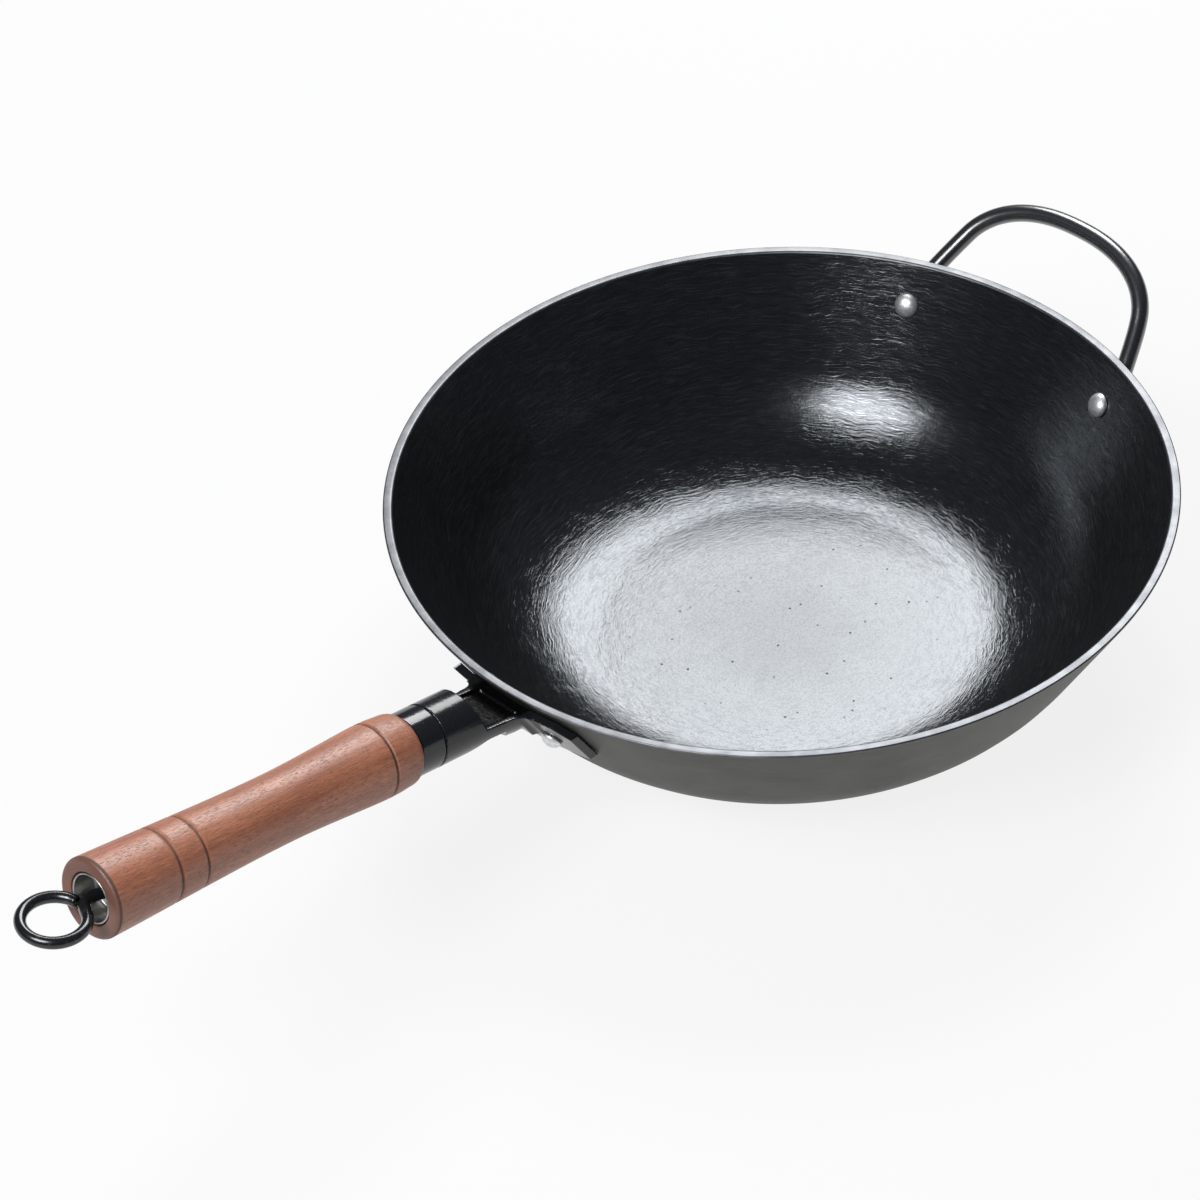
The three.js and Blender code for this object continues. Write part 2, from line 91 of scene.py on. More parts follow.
class Flow:
    """A socket in a material's nodes: sums on it add Math nodes, and make adds any other node."""

    def __init__(self, tree, socket=None):
        self.tree = tree
        self.socket = socket

    def make(self, kind, settings=None, sockets=None, out=0):
        node = self.tree.nodes.new("ShaderNode" + kind)
        for name, value in (settings or {}).items():
            setattr(node, name, value)
        for name, value in (sockets or {}).items():
            link(node.inputs, name, value)
        return Flow(self.tree, node.outputs[out])

    def work(self, operation, *values):
        return self.make("Math", {"operation": operation}, dict(enumerate(values)))

    def __add__(self, other):
        return self.work("ADD", self, other)

    def __radd__(self, other):
        return self.work("ADD", other, self)

    def __sub__(self, other):
        return self.work("SUBTRACT", self, other)

    def __rsub__(self, other):
        return self.work("SUBTRACT", other, self)

    def __mul__(self, other):
        return self.work("MULTIPLY", self, other)

    def __rmul__(self, other):
        return self.work("MULTIPLY", other, self)

    def __truediv__(self, other):
        return self.work("DIVIDE", self, other)

    def __rtruediv__(self, other):
        return self.work("DIVIDE", other, self)

    def __pow__(self, other):
        return self.work("POWER", self, other)

    def __abs__(self):
        return self.work("ABSOLUTE", self)

    def fade(self, low, high):
        """0 below low, 1 above high, and a smooth change between."""
        ends = {"Value": self, "From Min": low, "From Max": high}
        return self.make("MapRange", {"interpolation_type": "SMOOTHSTEP"}, ends)

    def axes(self):
        node = self.make("SeparateXYZ", sockets={0: self}).socket.node
        return [Flow(self.tree, node.outputs[place]) for place in range(3)]

    def along(self, direction):
        """How far a vector reaches in a direction."""
        return self.make("VectorMath", {"operation": "DOT_PRODUCT"}, {0: self, 1: direction}, "Value")

    def away_from(self, place):
        """This place in millimetres, counted from another that is given in metres."""
        start = tuple(part * 1000 for part in place)
        return self.make("VectorMath", {"operation": "SUBTRACT"}, {0: self, 1: start})

    def vector(self, x, y, z):
        return self.make("CombineXYZ", sockets={0: x, 1: y, 2: z})

    def noise(self, scale, detail=2.0, rough=0.5):
        sockets = {"Vector": self, "Scale": scale, "Detail": detail, "Roughness": rough}
        return self.make("TexNoise", sockets=sockets)

    def blend(self, one, other):
        """A colour that goes from one to the other as this value goes from 0 to 1."""
        return self.make("Mix", {"data_type": "RGBA"}, {0: self, 6: one, 7: other}, 2)

    def bump(self, depth):
        """A Normal that raises the surface by this value times a depth in metres."""
        sockets = {"Height": self, "Strength": 1.0, "Distance": depth}
        return self.make("Bump", sockets=sockets, out="Normal")


def new_finish(name):
    """A new material, with its main shader and its place on the object in millimetres."""
    material = bpy.data.materials.new(name)
    material.use_nodes = True
    tree = material.node_tree
    metres = Flow(tree).make("TexCoord", out="Object")
    place = metres.make("VectorMath", {"operation": "SCALE"}, {0: metres, "Scale": 1000.0})
    return material, tree.nodes["Principled BSDF"], place


def dress(shader, **sockets):
    for name, value in sockets.items():
        link(shader.inputs, name.replace("_", " "), value)


def new_piece(name, mesh):
    piece = bpy.data.objects.new(name, mesh)
    scene.collection.objects.link(piece)
    return piece


def floor_finish():
    material, shader, place = new_finish("studio_floor")
    dress(shader, Base_Color=FLOOR_COLOUR, Roughness=FLOOR_ROUGHNESS)
    rays = place.make("LightPath").socket.node
    shown = ("Is Camera Ray", "Is Glossy Ray", "Is Transmission Ray")
    seen = sum(Flow(place.tree, rays.outputs[kind]) for kind in shown)
    white = place.make("Emission", sockets={"Strength": 1.0})
    lit = Flow(place.tree, shader.outputs[0])
    both = place.make("MixShader", sockets={0: seen * FLOOR_GLOW, 1: lit, 2: white})
    ending = place.tree.nodes["Material Output"]
    link(ending.inputs, "Surface", both)
    return material


floor_mesh = bpy.data.meshes.new("floor")
shape = bmesh.new()
bmesh.ops.create_circle(shape, cap_ends=True, segments=96, radius=FLOOR_RADIUS)
shape.to_mesh(floor_mesh)
shape.free()
floor_mesh.materials.append(floor_finish())
floor = new_piece("floor", floor_mesh)
floor.location.z = -FLOOR_CLEARANCE

room = bpy.data.worlds.new("room")
room.use_nodes = True
room.node_tree.nodes["Background"].inputs["Color"].default_value = ROOM_COLOUR
room.node_tree.nodes["Background"].inputs["Strength"].default_value = ROOM_LIGHT
scene.world = room


def soft_box(name, azimuth, elevation, width, height, glow):
    """An oval lamp of one brightness that faces the bowl; azimuth counts from +X towards +Y."""
    turn = math.radians(azimuth)
    rise = math.radians(elevation)
    flat = math.cos(rise)
    towards = Vector((flat * math.cos(turn), flat * math.sin(turn), math.sin(rise)))
    lamp = bpy.data.lights.new(name, "AREA")
    lamp.shape = "ELLIPSE"
    lamp.size = width
    lamp.size_y = height
    lamp.energy = math.pi * width * height * glow
    box = bpy.data.objects.new(name, lamp)
    box.location = towards * BOX_DISTANCE
    box.rotation_euler = towards.to_track_quat("Z", "Y").to_euler()
    scene.collection.objects.link(box)


soft_box("box_behind_bowl", 35, 46, 1.0, 0.86, 9.5)
soft_box("box_beyond_grip", -176, 49, 0.85, 0.75, 11.3)

# The pan is one iron casting of even wall: a flat base, a rounded turn and a straight wall that
# flares to a rim ground flat. It is scraped by hand in rings inside and turned outside.
RIM_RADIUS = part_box("pan")[1].y
RIM_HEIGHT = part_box("pan")[1].z
BASE_RADIUS = 0.075
WALL = 0.0035
WALL_SLOPE = math.radians(60)
TURN_RADIUS = (
    (RIM_RADIUS - BASE_RADIUS) * math.sin(WALL_SLOPE) - RIM_HEIGHT * math.cos(WALL_SLOPE)
) / (1 - math.cos(WALL_SLOPE))
RIM_OUTER_EDGE = 0.0006
RIM_INNER_EDGE = 0.0014
PAN_SIDES = 400
PAN_STEP = 0.0022
SCRAPE_DEPTH = 0.00005
SCRAPE_TURNS = 7
SCRAPE_RINGS = 130
SCRAPE_PATCHES = 60
SCRAPE_START = 0.02
PATCH_SHARE = 0.8


def rounded(corners, steps=4):
    """An outline through corners of (x, y, rounding), each rounded by an arc."""
    outline = []
    for place, (x, y, rounding) in enumerate(corners):
        here = Vector((x, y))
        if not rounding:
            outline.append(here)
            continue
        back = (Vector(corners[place - 1][:2]) - here).normalized()
        on = (Vector(corners[(place + 1) % len(corners)][:2]) - here).normalized()
        half = back.angle(on) / 2
        middle = here + (back + on).normalized() * rounding / math.sin(half)
        start = here + back * rounding / math.tan(half) - middle
        end = here + on * rounding / math.tan(half) - middle
        for step in range(steps + 1):
            share = step / steps
            sweep = start.angle(end)
            mixed = start * math.sin((1 - share) * sweep) + end * math.sin(share * sweep)
            outline.append(middle + mixed / math.sin(sweep))
    return outline


def skin(name, rings, closed=False):
    """A smooth surface through rings of points. A ring of one point closes its end."""
    points = []
    starts = []
    faces = []
    for ring in rings:
        starts.append(len(points))
        points.extend(ring)
    pairs = list(zip(range(len(rings)), range(1, len(rings))))
    if closed:
        pairs.append((len(rings) - 1, 0))
    for one, other in pairs:
        count = max(len(rings[one]), len(rings[other]))
        for side in range(count):
            places = [(one, side), (one, side + 1), (other, side + 1), (other, side)]
            corners = [starts[ring] + step % len(rings[ring]) for ring, step in places]
            faces.append(list(dict.fromkeys(corners)))
    mesh = bpy.data.meshes.new(name)
    mesh.from_pydata(points, [], faces)
    tidy = bmesh.new()
    tidy.from_mesh(mesh)
    bmesh.ops.recalc_face_normals(tidy, faces=tidy.faces)
    tidy.to_mesh(mesh)
    tidy.free()
    mesh.shade_smooth()
    piece = new_piece(name, mesh)
    weights = piece.modifiers.new("weights", "WEIGHTED_NORMAL")
    weights.weight = 100
    return piece


def circle(radius, along, sides, axis_frame):
    """A ring of points about an axis, or its one point where the radius is nothing."""
    if radius < 1e-7:
        return [axis_frame @ Vector((0, 0, along))]
    turns = [2 * math.pi * side / sides for side in range(sides)]
    return [axis_frame @ Vector((radius * math.cos(t), radius * math.sin(t), along)) for t in turns]


def spread(start, end, step):
    """Places from start to end, both kept, about a step apart."""
    count = max(1, round(abs(end - start) / step))
    return [start + (end - start) * place / count for place in range(count + 1)]


def pan_line(depth, step):
    """The pan's wall from the middle of its base to the rim, at a depth inside its outer face."""
    turn = TURN_RADIUS - depth
    line = [(radius, depth) for radius in spread(0, BASE_RADIUS, step)]
    for angle in spread(0, WALL_SLOPE, step / turn)[1:]:
        line.append((BASE_RADIUS + turn * math.sin(angle), TURN_RADIUS - turn * math.cos(angle)))
    foot_radius, foot = line[-1]
    for height in spread(foot, RIM_HEIGHT, step)[1:]:
        line.append((foot_radius + (height - foot) / math.tan(WALL_SLOPE), height))
    return line


def scraped(point):
    """How far the scraped inside lies off its true form: long shallow strokes in rings."""
    radius = max(math.hypot(point.x, point.y), SCRAPE_START)
    turn = Vector((point.x, point.y, 0)) / radius * SCRAPE_TURNS
    stroke = turn + Vector((0, 0, (radius + point.z) * SCRAPE_RINGS))
    patch = point * SCRAPE_PATCHES
    return SCRAPE_DEPTH * (noise.noise(stroke) + PATCH_SHARE * noise.noise(patch))


def iron_inside():
    material, shader, place = new_finish("scraped_iron")
    x, y, z = place.axes()
    radius = (x * x + y * y) ** 0.5
    wander = place.noise(0.06) * 9.0 + place.noise(0.22) * 2.0
    rings = radius + z + wander
    on_flat = 1 - radius.fade(48, 92)
    strokes = place.vector(x / radius * 13.0, y / radius * 13.0, rings * 0.75).noise(1.0, 2.5, 0.6)
    hairs = place.vector(x / radius * 12.0, y / radius * 12.0, rings * 2.2).noise(1.0, 1.0, 0.5)
    grain = place.noise(1.1, 3.0, 0.65)
    on_wall = radius.fade(108, 128)
    scrape = (1 - on_flat * 0.7 - on_wall * 0.35) * radius.fade(4, 40)
    height = (strokes + hairs * 0.4) * scrape + grain * 0.3
    level = place.vector(x, y, 0.0)
    cells = place.make("TexVoronoi", sockets={"Vector": level, "Scale": 0.2}).socket.node
    chance = Flow(place.tree, cells.outputs["Color"]).axes()[0]
    spots = 1 - Flow(place.tree, cells.outputs["Distance"]).fade(0.025, 0.13)
    pits = spots * chance.fade(0.35, 0.95) * on_flat
    middle = 1 - (radius + place.noise(0.05, 3.0) * 40.0).fade(30, 75)
    iron = middle.blend((0.066, 0.07, 0.074, 1), (0.055, 0.058, 0.061, 1))
    scored = (strokes.fade(0.45, 0.65) * (0.4 - on_flat * 0.25)).blend(iron, (0.026, 0.029, 0.034, 1))
    glints = hairs.fade(0.56, 0.68) * radius.fade(92, 116) * 0.6
    bright = glints.blend(scored, (0.17, 0.178, 0.19, 1))
    seasoned = (grain.fade(0.4, 0.75) * (0.6 - on_flat * 0.2)).blend(bright, (0.036, 0.039, 0.045, 1))
    dress(
        shader,
        Base_Color=pits.blend(seasoned, (0.012, 0.012, 0.013, 1)),
        Metallic=0.85,
        Roughness=0.13 + grain * 0.1 + on_flat * 0.05,
        Normal=(height - pits * 0.6).bump(0.00013),
    )
    return material


def iron_rim():
    material, shader, place = new_finish("ground_iron_rim")
    x, y, z = place.axes()
    radius = (x * x + y * y) ** 0.5
    lines = place.vector(x / radius * 12.0, y / radius * 12.0, radius * 5.0 + z * 5.0).noise(1.0, 2.0)
    patch = place.noise(0.12, 3.0)
    dress(
        shader,
        Base_Color=patch.fade(0.3, 0.7).blend((0.096, 0.1, 0.107, 1), (0.14, 0.144, 0.152, 1)),
        Metallic=0.95,
        Roughness=0.32 + lines * 0.15,
        Normal=lines.bump(0.00001),
    )
    return material


def iron_outside():
    material, shader, place = new_finish("turned_iron")
    x, y, z = place.axes()
    radius = (x * x + y * y) ** 0.5
    turned_share = radius.fade(4, 40)
    lines = place.vector(x / radius * 5.0, y / radius * 5.0, (radius + z) * 1.4).noise(1.0, 3.0, 0.65)
    fine = place.vector(x / radius * 9.0, y / radius * 9.0, (radius + z) * 5.0).noise(1.0, 2.0)
    patch = place.noise(0.035, 4.0, 0.6).fade(0.3, 0.7)
    grain = place.noise(1.6, 2.0, 0.6)
    tone = patch * 0.4 + lines.fade(0.35, 0.65) * turned_share * 0.6
    dress(
        shader,
        Base_Color=tone.blend((0.017, 0.017, 0.0145, 1), (0.08, 0.0795, 0.071, 1)),
        Metallic=0.7,
        Roughness=0.38 + lines * 0.24,
        Normal=((lines + fine * 0.4) * turned_share + grain * 0.5).bump(0.00014),
    )
    return material


outside = pan_line(0, 3 * PAN_STEP)
inside = pan_line(WALL, PAN_STEP)
rim_inner = inside[-1][0]
rim = rounded(
    [
        (*outside[-2], 0),
        (RIM_RADIUS, RIM_HEIGHT, RIM_OUTER_EDGE),
        (rim_inner, RIM_HEIGHT, RIM_INNER_EDGE),
        (*inside[-2], 0),
    ]
)[1:-1]
pan_outline = [*outside[:-1], *rim, *reversed(inside[:-1])]
pan_rings = [circle(radius, height, PAN_SIDES, Matrix.Identity(4)) for radius, height in pan_outline]
scraped_from = len(outside) - 1 + len(rim)
for ring in pan_rings[scraped_from:]:
    for point in ring:
        point.z += scraped(point)
pan = skin("iron_pan", pan_rings)
for finish in (iron_outside(), iron_rim(), iron_inside()):
    pan.data.materials.append(finish)
for face in pan.data.polygons:
    corner = min(face.vertices[:])
    ring = (corner - 1) // PAN_SIDES + 1 if corner else 0
    face.material_index = 0 if ring < len(outside) - 1 else 1 if ring < scraped_from - 1 else 2
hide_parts("pan")
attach(pan, "wok")

# The bracket is pressed from one thick plate: a round socket, scooped open beside the pan, whose
# sides bend out into two wings that hug the wall. It is stoved in gloss black paint.
GRIP_AXIS = Vector(frame["joints"][0]["axis"]).normalized()
BUTT = Vector(frame["joints"][0]["pos_m"])
LINE_LENGTH = 0.20605
LINE_START = BUTT - GRIP_AXIS * LINE_LENGTH
SOCKET_RADIUS = 0.013
SOCKET_BORE = 0.0105
SOCKET_FLARE = 0.0008
SCOOP_REACH = 0.0195
SOCKET_END = 0.04065
SEAT = 0.0003
PLATE = 0.0035
BRACKET_VOXEL = 0.0004
SNAP = 0.0002
POCK_DEPTH = 0.00005
POCK_SCALE = 700
WEB_FALL = 0.06
WEB_DROP = 0.0015
WEB_HALF_DEPTH = 0.004


def line_frame(start):
    """A frame on the grip's axis, its Z outwards along the grip, counted from the socket's start."""
    side = Vector((0, 1, 0))
    up = GRIP_AXIS.cross(side) * -1
    turn = Matrix((up, side, GRIP_AXIS)).transposed().to_4x4()
    return Matrix.Translation(LINE_START + GRIP_AXIS * start) @ turn


def off_wall(point):
    """How far a point stands square out of the pan's straight outer wall, and the way out of it."""
    radius = math.hypot(point.x, point.y)
    lean = (RIM_HEIGHT - point.z) / math.tan(WALL_SLOPE)
    level = Vector((point.x / radius, point.y / radius, 0)) * math.sin(WALL_SLOPE)
    out = level - Vector((0, 0, math.cos(WALL_SLOPE)))
    return (radius - RIM_RADIUS + lean) * math.sin(WALL_SLOPE), out


def gloss_black(name, shine, haze=0.1, veil=0.0):
    """Stoved black paint, darkened by painted shade in the bracket's scoop; veil is a soft second
    sheen over it.
    """
    material, shader, place = new_finish(name)
    peel = place.noise(0.45, 1.0)
    dust = place.noise(2.6, 1.0).fade(0.68, 0.74)
    cloud = place.noise(0.09, 3.0)
    from_start = place.away_from(LINE_START)
    along = from_start.along(GRIP_AXIS)
    across = abs(from_start.along((0, 1, 0)))
    # Painted shade: the paint turns near-black in the bracket's scoop beside the pan, where shade
    # falls.
    in_scoop = along.fade(-12, -8) * (1 - along.fade(17, 20)) * (1 - across.fade(12, 14))
    black = in_scoop.blend((0.012, 0.013, 0.016, 1), (0.002, 0.002, 0.0025, 1))
    dress(
        shader,
        Base_Color=dust.blend(black, (0.03, 0.031, 0.034, 1)),
        Roughness=haze + cloud * 0.1 + dust * 0.12,
        Specular_IOR_Level=shine,
        Coat_Weight=veil,
        Coat_Roughness=0.32,
        Normal=(peel + dust * 0.25).bump(0.00003),
    )
    return material


def bracket_mesh():
    """The bracket's solid with its edges eased and its round faces trued."""
    blank = new_piece("bracket_blank", frame["nodes"]["handle_bracket"].data.copy())
    grid = blank.modifiers.new("grid", "REMESH")
    grid.mode = "VOXEL"
    grid.voxel_size = BRACKET_VOXEL
    ease = blank.modifiers.new("ease", "SMOOTH")
    ease.iterations = 8
    seen = blank.evaluated_get(bpy.context.evaluated_depsgraph_get())
    mesh = bpy.data.meshes.new_from_object(seen)
    bpy.data.objects.remove(blank)
    for vertex in mesh.vertices:
        reach = vertex.co - LINE_START
        along = reach.dot(GRIP_AXIS)
        spoke = reach - GRIP_AXIS * along
        flare = max(0, 1 - along / SCOOP_REACH)
        true_radius = SOCKET_RADIUS + SOCKET_FLARE * flare**2
        if along > 0 and abs(spoke.length - true_radius) < SNAP:
            vertex.co += spoke.normalized() * (true_radius - spoke.length)
        if abs(along - SOCKET_END) < SNAP:
            vertex.co += GRIP_AXIS * (SOCKET_END - along)
        distance, out = off_wall(vertex.co)
        if abs(distance - SEAT - PLATE) < SNAP:
            vertex.co += out * (SEAT + PLATE - distance)
        in_scoop = abs(spoke.y) < SOCKET_BORE and along < SCOOP_REACH
        if in_scoop and abs(spoke.z + WEB_DROP) < WEB_HALF_DEPTH and distance > SEAT + PLATE:
            pock = POCK_DEPTH * noise.noise(vertex.co * POCK_SCALE)
            vertex.co.z += pock - WEB_FALL * (SCOOP_REACH - along)
    mesh.shade_smooth()
    return mesh


bracket = new_piece("socket_bracket", bracket_mesh())
bracket.data.materials.clear()
bracket.data.materials.append(gloss_black("stoved_black_bracket", 0.4, 0.13))
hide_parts("handle_bracket")
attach(bracket, "wok")

# The nut is a plain turned steel disc, fixed inside the socket against the end of the grip's
# tenon; the eye bolt draws against it and so holds the grip.
NUT_START = 0.02465
NUT_THICKNESS = 0.005
NUT_RADIUS = 0.0102
NUT_BORE = 0.0026
NUT_EDGE = 0.0005
NUT_BORE_EDGE = 0.0004
NUT_SIDES = 64


def turned(name, corners, sides, start=0.0, closed=True):
    """A body turned about the grip's axis from corners of (radius, along, rounding)."""
    axis_frame = line_frame(start)
    rings = [circle(radius, along, sides, axis_frame) for radius, along in rounded(corners)]
    return skin(name, rings, closed)


def plain_steel(name, colour, roughness):
    material, shader, place = new_finish(name)
    reach = place.along(GRIP_AXIS)
    marks = place.vector(reach * 4.0, reach * 0.7, place.noise(0.2)).noise(1.0, 3.0)
    stain = place.noise(0.3, 3.0)
    dark = tuple(part * 0.7 for part in colour)
    dress(
        shader,
        Base_Color=stain.fade(0.35, 0.7).blend((*colour, 1), (*dark, 1)),
        Metallic=1.0,
        Roughness=roughness + marks * 0.15,
        Normal=marks.bump(0.00002),
    )
    return material


nut = turned(
    "socket_nut_disc",
    [
        (NUT_BORE, 0, NUT_BORE_EDGE),
        (NUT_RADIUS, 0, NUT_EDGE),
        (NUT_RADIUS, NUT_THICKNESS, NUT_EDGE),
        (NUT_BORE, NUT_THICKNESS, NUT_BORE_EDGE),
    ],
    NUT_SIDES,
    NUT_START,
)
nut.data.materials.append(plain_steel("turned_steel", (0.5, 0.51, 0.53), 0.3))
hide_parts("socket_nut")
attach(nut, "wok")

# The ferrule is a short steel collar over the grip's tenon, painted like the bracket and clamped
# between the wood and the socket's end.
FERRULE_START = 0.04095
FERRULE_LENGTH = 0.0123
FERRULE_EDGE = 0.0009
FERRULE_SIDES = 96

ferrule = turned(
    "ferrule_collar",
    [
        (SOCKET_BORE, 0, FERRULE_EDGE / 2),
        (SOCKET_RADIUS, 0, FERRULE_EDGE),
        (SOCKET_RADIUS, FERRULE_LENGTH, FERRULE_EDGE),
        (SOCKET_BORE, FERRULE_LENGTH, FERRULE_EDGE / 2),
    ],
    FERRULE_SIDES,
    FERRULE_START,
)
ferrule.data.materials.append(gloss_black("stoved_black_ferrule", 0.45))
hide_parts("ferrule")
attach(ferrule, "wok")

# The grip is turned from one piece of red-brown hardwood, with a tenon in the socket, a waist for
# the hand, three cut rings and a pocket in its butt. It is oiled to a satin finish.
GRIP_LENGTH = 0.1525
GRIP_START = LINE_LENGTH - GRIP_LENGTH
TENON_START = 0.02995
TENON_RADIUS = 0.0102
NOSE_RADIUS = 0.0134
NOSE_ROUND = 0.0035
SHOULDER_RADIUS = 0.0147
FRONT_RADIUS = 0.0152
WAIST_RADIUS = 0.0135
BUTT_RADIUS = 0.0158
BUTT_ROUND = 0.0016
FRONT_SHARE = 0.082
WAIST_SHARE = 0.408
RING_SHARES = (0.096, 0.708, 0.792)
BUTT_LINE_SHARE = 0.9915
RING_HALF_WIDTH = 0.0008
RING_DEPTH = 0.0007
POCKET_RADIUS = 0.0102
POCKET_DEPTH = 0.0118
POCKET_BEVEL_DEPTH = 0.0008
POCKET_BEVEL_WIDTH = 0.0006
GRIP_BORE = 0.0026
GRIP_SIDES = 128
GRIP_STEPS = 120


def curve_through(points, steps):
    """A smooth line through points, with the same number of steps between each two."""
    ends = [points[0] * 2 - points[1], *points, points[-1] * 2 - points[-2]]
    line = []
    for before, one, other, after in zip(ends, ends[1:], ends[2:], ends[3:]):
        pairs = ((before, one), (one, other), (other, after))
        first, span, last = [(end - start).length ** 0.5 for start, end in pairs]
        leave = (one - before) * span / first - (other - before) * span / (first + span) + other - one
        arrive = other - one - (after - one) * span / (span + last) + (after - other) * span / last
        bend = (one - other) * 2 + leave + arrive
        rise = (other - one) * 3 - leave * 2 - arrive
        for t in (step / steps for step in range(steps)):
            line.append(one + leave * t + rise * t**2 + bend * t**3)
    return [*line, points[-1]]


def grip_outline():
    """The grip's outer line from nose to butt, as (radius, along), with the cut rings let into it."""
    butt_start = GRIP_LENGTH - BUTT_ROUND
    line = curve_through(
        [
            Vector((SHOULDER_RADIUS, NOSE_ROUND)),
            Vector((FRONT_RADIUS, GRIP_LENGTH * FRONT_SHARE)),
            Vector((WAIST_RADIUS, GRIP_LENGTH * WAIST_SHARE)),
            Vector((BUTT_RADIUS, butt_start)),
        ],
        GRIP_STEPS,
    )
    outline = []
    for radius, along in line:
        nearest = min(abs(along - share * GRIP_LENGTH) for share in RING_SHARES)
        cut = max(0, 1 - (nearest / RING_HALF_WIDTH) ** 2)
        outline.append((radius - RING_DEPTH * cut**0.5, along))
    quarter = [math.pi / 2 * step / 6 for step in range(7)]
    nose = [
        (
            NOSE_RADIUS + (SHOULDER_RADIUS - NOSE_RADIUS) * math.sin(angle),
            NOSE_ROUND * (1 - math.cos(angle)),
        )
        for angle in quarter[:-1]
    ]
    butt = [
        (
            BUTT_RADIUS - BUTT_ROUND * (1 - math.cos(angle)),
            butt_start + BUTT_ROUND * math.sin(angle),
        )
        for angle in quarter[1:]
    ]
    return [*nose, *outline, *butt]


def oiled_wood():
    material, shader, place = new_finish("oiled_hardwood")
    from_butt = place.away_from(BUTT)
    reach = from_butt.along(GRIP_AXIS)
    side = from_butt.along((0, 1, 0))
    up = from_butt.along(tuple(Vector((0, 1, 0)).cross(GRIP_AXIS)))
    spoke = (side * side + up * up) ** 0.5
    bend = from_butt.noise(0.02) * 10.0
    board = place.vector(reach * 0.012, (side + bend) * 0.16, up * 0.16 + bend * 0.03)
    bands = board.noise(1.0, 4.0, 0.6)
    streaks = place.vector(reach * 0.05, side * 0.9, up * 0.9).noise(1.0, 3.0, 0.6)
    fibres = place.vector(reach * 0.24, side * 3.5, up * 3.5).noise(1.0, 2.0)
    pores = place.vector(reach * 0.5, side * 4.0, up * 4.0).noise(1.0, 1.0).fade(0.58, 0.72)
    share = reach / (GRIP_LENGTH * 1000) + 1
    # The three cut rings carry burnt lines; a fourth dark line lies on the butt's rounded edge, and
    # the last few millimetres towards the butt are darker.
    lines = (*RING_SHARES, BUTT_LINE_SHARE)
    burnt_rings_and_dark_butt_line = sum(1 - abs(share - line).fade(0.002, 0.0056) for line in lines)
    end_grain = spoke.fade(9.0, 12.5) * reach.fade(-1.2, -0.2)
    light = bands.fade(0.3, 0.7).blend((0.35, 0.112, 0.051, 1), (0.52, 0.195, 0.1, 1))
    streaked = (streaks.fade(0.4, 0.72) * 0.4).blend(light, (0.18, 0.053, 0.024, 1))
    fibrous = (fibres.fade(0.35, 0.68) * 0.6).blend(streaked, (0.19, 0.058, 0.028, 1))
    flecked = (pores * 0.7).blend(fibrous, (0.07, 0.022, 0.012, 1))
    darker_butt_edge = reach.fade(-2.4, -1.2)
    ended = (end_grain * 0.25 + darker_butt_edge * 0.6).blend(flecked, (0.1, 0.03, 0.016, 1))
    dress(
        shader,
        Base_Color=(burnt_rings_and_dark_butt_line * 0.75).blend(ended, (0.042, 0.015, 0.009, 1)),
        Roughness=0.4 + fibres * 0.14 + pores * 0.1 + burnt_rings_and_dark_butt_line * 0.25,
        Specular_IOR_Level=0.95,
        Normal=(fibres * 0.5 + streaks * 0.3 - pores * 0.8).bump(0.00005),
    )
    return material


grip_rings = [
    (GRIP_BORE, GRIP_LENGTH - POCKET_DEPTH),
    (POCKET_RADIUS, GRIP_LENGTH - POCKET_DEPTH),
    (POCKET_RADIUS, GRIP_LENGTH - POCKET_BEVEL_DEPTH),
    (POCKET_RADIUS + POCKET_BEVEL_WIDTH, GRIP_LENGTH),
    *reversed(grip_outline()),
    (TENON_RADIUS, 0),
    (TENON_RADIUS, TENON_START - GRIP_START),
    (GRIP_BORE, TENON_START - GRIP_START),
]
grip_frame = line_frame(GRIP_START)
grip = skin(
    "wood_grip",
    [circle(radius, along, GRIP_SIDES, grip_frame) for radius, along in grip_rings],
    closed=True,
)
grip.data.materials.append(oiled_wood())
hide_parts("grip")
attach(grip, "wok")

# The end cup is drawn from thin bright steel and pressed into the butt; its lip is rolled and the
# bolt's collar bears on its floor.
CUP_RADIUS = 0.0099
CUP_WALL = 0.0009
CUP_DEPTH = 0.011
CUP_BORE = 0.0026
CUP_ROUND = 0.0012
CUP_LIP_ROUND = CUP_WALL * 0.48
CUP_INSET = 0.0005
CUP_START = LINE_LENGTH - CUP_INSET - CUP_DEPTH
CUP_SIDES = 96

cup = turned(
    "steel_end_cup",
    [
        (CUP_BORE, 0, 0),
        (CUP_RADIUS, 0, CUP_ROUND),
        (CUP_RADIUS, CUP_DEPTH, CUP_LIP_ROUND),
        (CUP_RADIUS - CUP_WALL, CUP_DEPTH, CUP_LIP_ROUND),
        (CUP_RADIUS - CUP_WALL, CUP_WALL, CUP_ROUND),
        (CUP_BORE, CUP_WALL, 0),
    ],
    CUP_SIDES,
    CUP_START,
)
cup.data.materials.append(plain_steel("drawn_steel", (0.44, 0.435, 0.42), 0.3))
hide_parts("end_cup")
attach(cup, "wok")

# The eye bolt is one black-plated steel rod through the grip: a collar that bears on the cup, then
# the hanging eye, bent round until its end butts against the rod.
ROD_RADIUS = 0.0023
EYE_RADIUS = 0.0119
EYE_STAND = 0.0019
EYE_ROLL = math.radians(-3)
EYE_DROOP = math.radians(6)
EYE_JOIN = math.radians(42)
EYE_END = math.radians(352)
COLLAR_RADIUS = 0.0046
COLLAR_THICKNESS = 0.002
COLLAR_START = CUP_START + CUP_WALL + SEAT
ROD_END_EASE = 0.0004
COLLAR_EDGE = 0.0006
EYE_STEP = math.radians(15)
ROD_SIDES = 32
SHANK_SIDES = 48
CURVE_STEPS = 8


